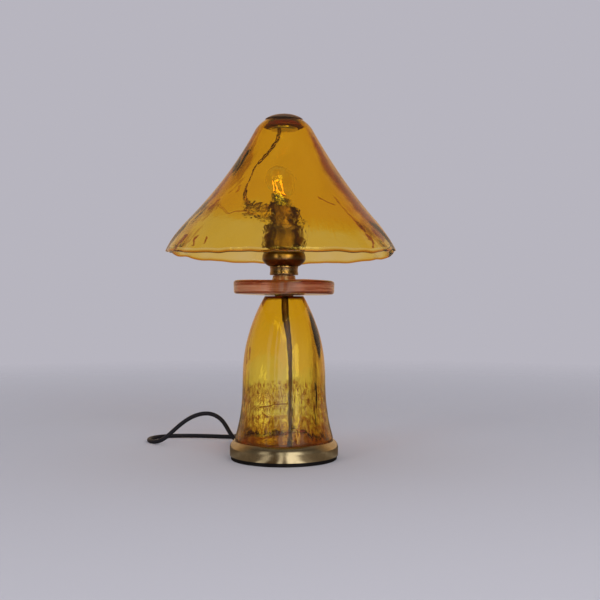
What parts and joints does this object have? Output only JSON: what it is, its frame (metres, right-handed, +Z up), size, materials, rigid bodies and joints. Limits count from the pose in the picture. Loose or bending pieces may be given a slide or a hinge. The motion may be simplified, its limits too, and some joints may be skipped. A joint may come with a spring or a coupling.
{
  "type": "mushroom table lamp",
  "caption": "Table lamp of blown amber glass: bell foot on a brass base, rose glass disc, lampholder with bulb and a wide mushroom shade on a bent rod; corded.",
  "frame": {"origin": "middle of the underside of the foot pad, on the surface it stands on", "axes": "+Z up along the lamp's axis; the side seen in the picture faces -Y, with +X to its right"},
  "size_m": [0.3804, 0.3576, 0.4815],
  "materials": {
    "rubber_black": "matt",
    "aged_brass": "satin, lacquered",
    "dark_bronze": "antique, brushed",
    "steel": "plated",
    "cast_iron": "cast",
    "amber_glass": "blown, rippled",
    "rose_glass": "blown",
    "clear_glass": "clear",
    "filament": "glowing",
    "black_moulding": "moulded",
    "pale_gasket": "soft",
    "cord_black": "matt sheath",
    "core_insulation": "extruded"
  },
  "bodies": {
    "base": {"foot_pad": "rubber_black", "glass_seat_gasket": "pale_gasket", "brass_base": "aged_brass", "base_weight": "cast_iron", "base_washer": "steel", "base_nut": "steel", "central_tube": "aged_brass", "base_glass": "amber_glass", "disc_glass": "rose_glass", "disc_washer": "pale_gasket", "neck_washer": "pale_gasket", "holder_collar": "aged_brass", "holder_dome": "dark_bronze", "holder_nut": "steel", "holder_cup": "dark_bronze", "lampholder_sleeve": "dark_bronze", "lampholder_insulator": "black_moulding", "screw_shell": "aged_brass", "centre_contact": "aged_brass", "terminals": "aged_brass", "arm_clamp": "dark_bronze", "clamp_screw": "steel", "clamp_nut": "steel", "shade_arm": "dark_bronze", "arm_hub": "aged_brass", "shade_plate": "dark_bronze", "plate_gasket": "pale_gasket", "crown_stud": "steel", "cord_gland": "rubber_black", "inner_lead": "core_insulation", "cord_coil": "cord_black", "cord_free": "cord_black", "cord_tail": "cord_black", "plug_body": "black_moulding", "plug_pins": "steel"},
    "shade": {"shade_glass": "amber_glass", "cap_gasket": "pale_gasket", "crown_cap": "dark_bronze"},
    "nut": {"cap_nut": "dark_bronze"},
    "bulb": {"bulb_glass": "clear_glass", "bulb_cap": "steel", "bulb_insulator": "black_moulding", "bulb_tip": "steel", "bulb_stem": "clear_glass", "filament_wires": "steel", "filaments": "filament"},
    "push_bar": {"switch_bar": "dark_bronze", "switch_bar_tips": "dark_bronze"}
  },
  "joints": [
    {"name": "shade_lift", "type": "slide", "parent": "base", "child": "shade", "axis": [0, 0, 1], "range_m": [0, 0.12]},
    {"name": "nut_off", "type": "slide", "parent": "shade", "child": "nut", "axis": [0, 0, 1], "range_m": [0, 0.01]},
    {"name": "bulb_out", "type": "slide", "parent": "base", "child": "bulb", "axis": [0, 0, 1], "range_m": [0, 0.025]},
    {"name": "bar_push", "type": "slide", "parent": "base", "child": "push_bar", "axis": [-1, 0, 0], "range_m": [0, 0.01]}
  ]
}
